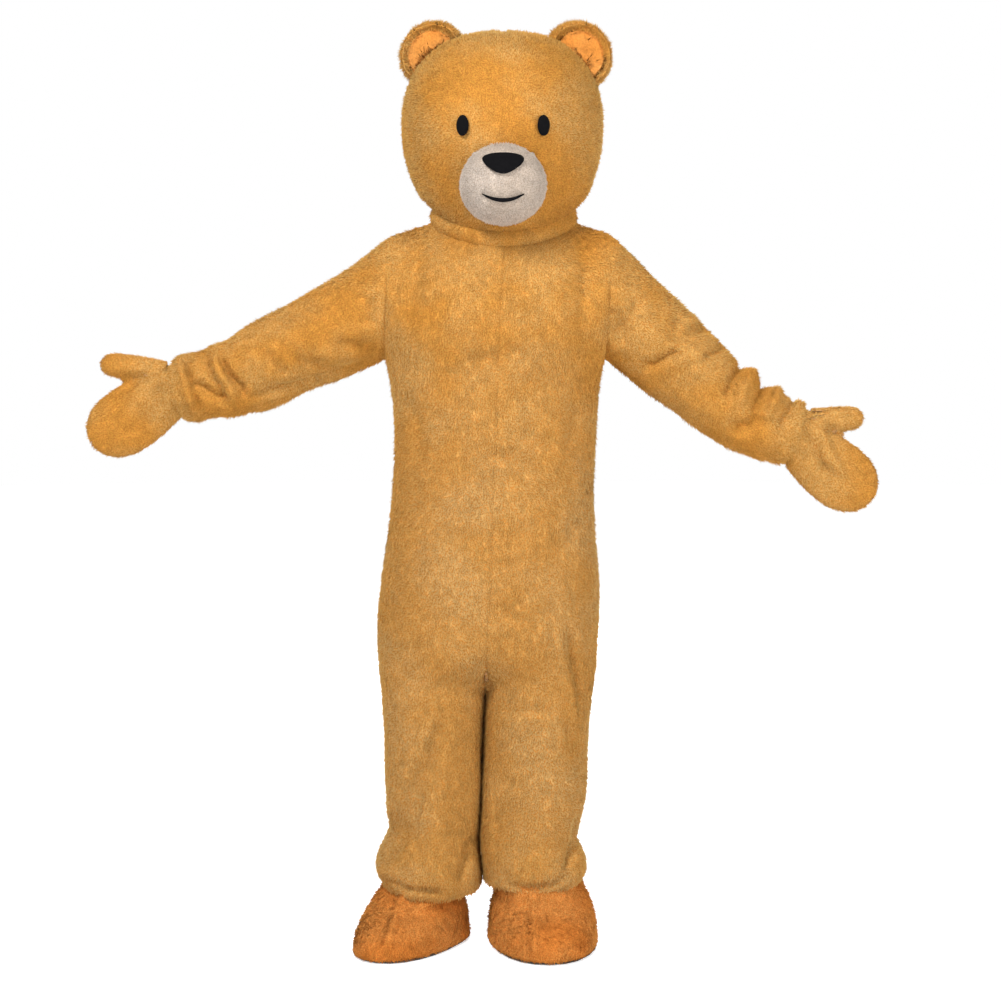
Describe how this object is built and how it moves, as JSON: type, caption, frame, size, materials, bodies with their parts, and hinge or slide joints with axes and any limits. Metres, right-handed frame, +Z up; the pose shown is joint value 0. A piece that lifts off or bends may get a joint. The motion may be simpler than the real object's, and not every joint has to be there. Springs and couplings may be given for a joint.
{
  "type": "bear mascot costume",
  "caption": "Wearable plush bear mascot set: hollow head, zipped jumpsuit with gathered sleeves, mittens and soft boots, filled out with the arms spread.",
  "frame": {"origin": "middle of the neck opening, level with the top of the shoulders, where the wearer carries the costume", "axes": "+Z up the worn costume, -Y the way the bear faces, +X towards its own left hand"},
  "size_m": [1.5941, 0.4452, 1.8392],
  "materials": {
    "plush_upper": "short curly golden plush",
    "plush_lower": "short golden tan plush, lighter below the chest",
    "plush_deep": "deeper orange plush, flattened",
    "plush_cream": "short cream plush",
    "felt_black": "black felt",
    "sole_dark": "dark non-slip sole",
    "zip_tape": "woven zip tape",
    "zip_metal": "aged metal"
  },
  "bodies": {
    "costume": {"body_back_left": "plush_lower", "body_back_right": "plush_lower", "body_front_left": "plush_lower", "body_front_right": "plush_lower", "boot_inner_left": "plush_deep", "boot_inner_right": "plush_deep", "boot_outer_left": "plush_deep", "boot_outer_right": "plush_deep", "boot_sole_left": "sole_dark", "boot_sole_right": "sole_dark", "ear_lining_left": "plush_deep", "ear_lining_right": "plush_deep", "ear_shell_left": "plush_upper", "ear_shell_right": "plush_upper", "eye_left": "felt_black", "eye_right": "felt_black", "face_left": "plush_upper", "face_right": "plush_upper", "head_back_left": "plush_upper", "head_back_right": "plush_upper", "mitten_back_left": "plush_upper", "mitten_back_right": "plush_upper", "mitten_palm_left": "plush_upper", "mitten_palm_right": "plush_upper", "mouth": "felt_black", "muzzle": "plush_cream", "neck_band": "plush_upper", "nose": "felt_black", "sleeve_left": "plush_upper", "sleeve_right": "plush_upper", "zip_slider": "zip_metal", "zip_tape_left": "zip_tape", "zip_tape_right": "zip_tape"},
    "pull": {"zip_pull": "zip_metal"}
  },
  "joints": [
    {"name": "zip_pull_hinge", "type": "hinge", "parent": "costume", "child": "pull", "pos_m": [0.01025, 0.15429, -0.05242], "axis": [1, 0, 0], "range_deg": [0, 110]}
  ]
}
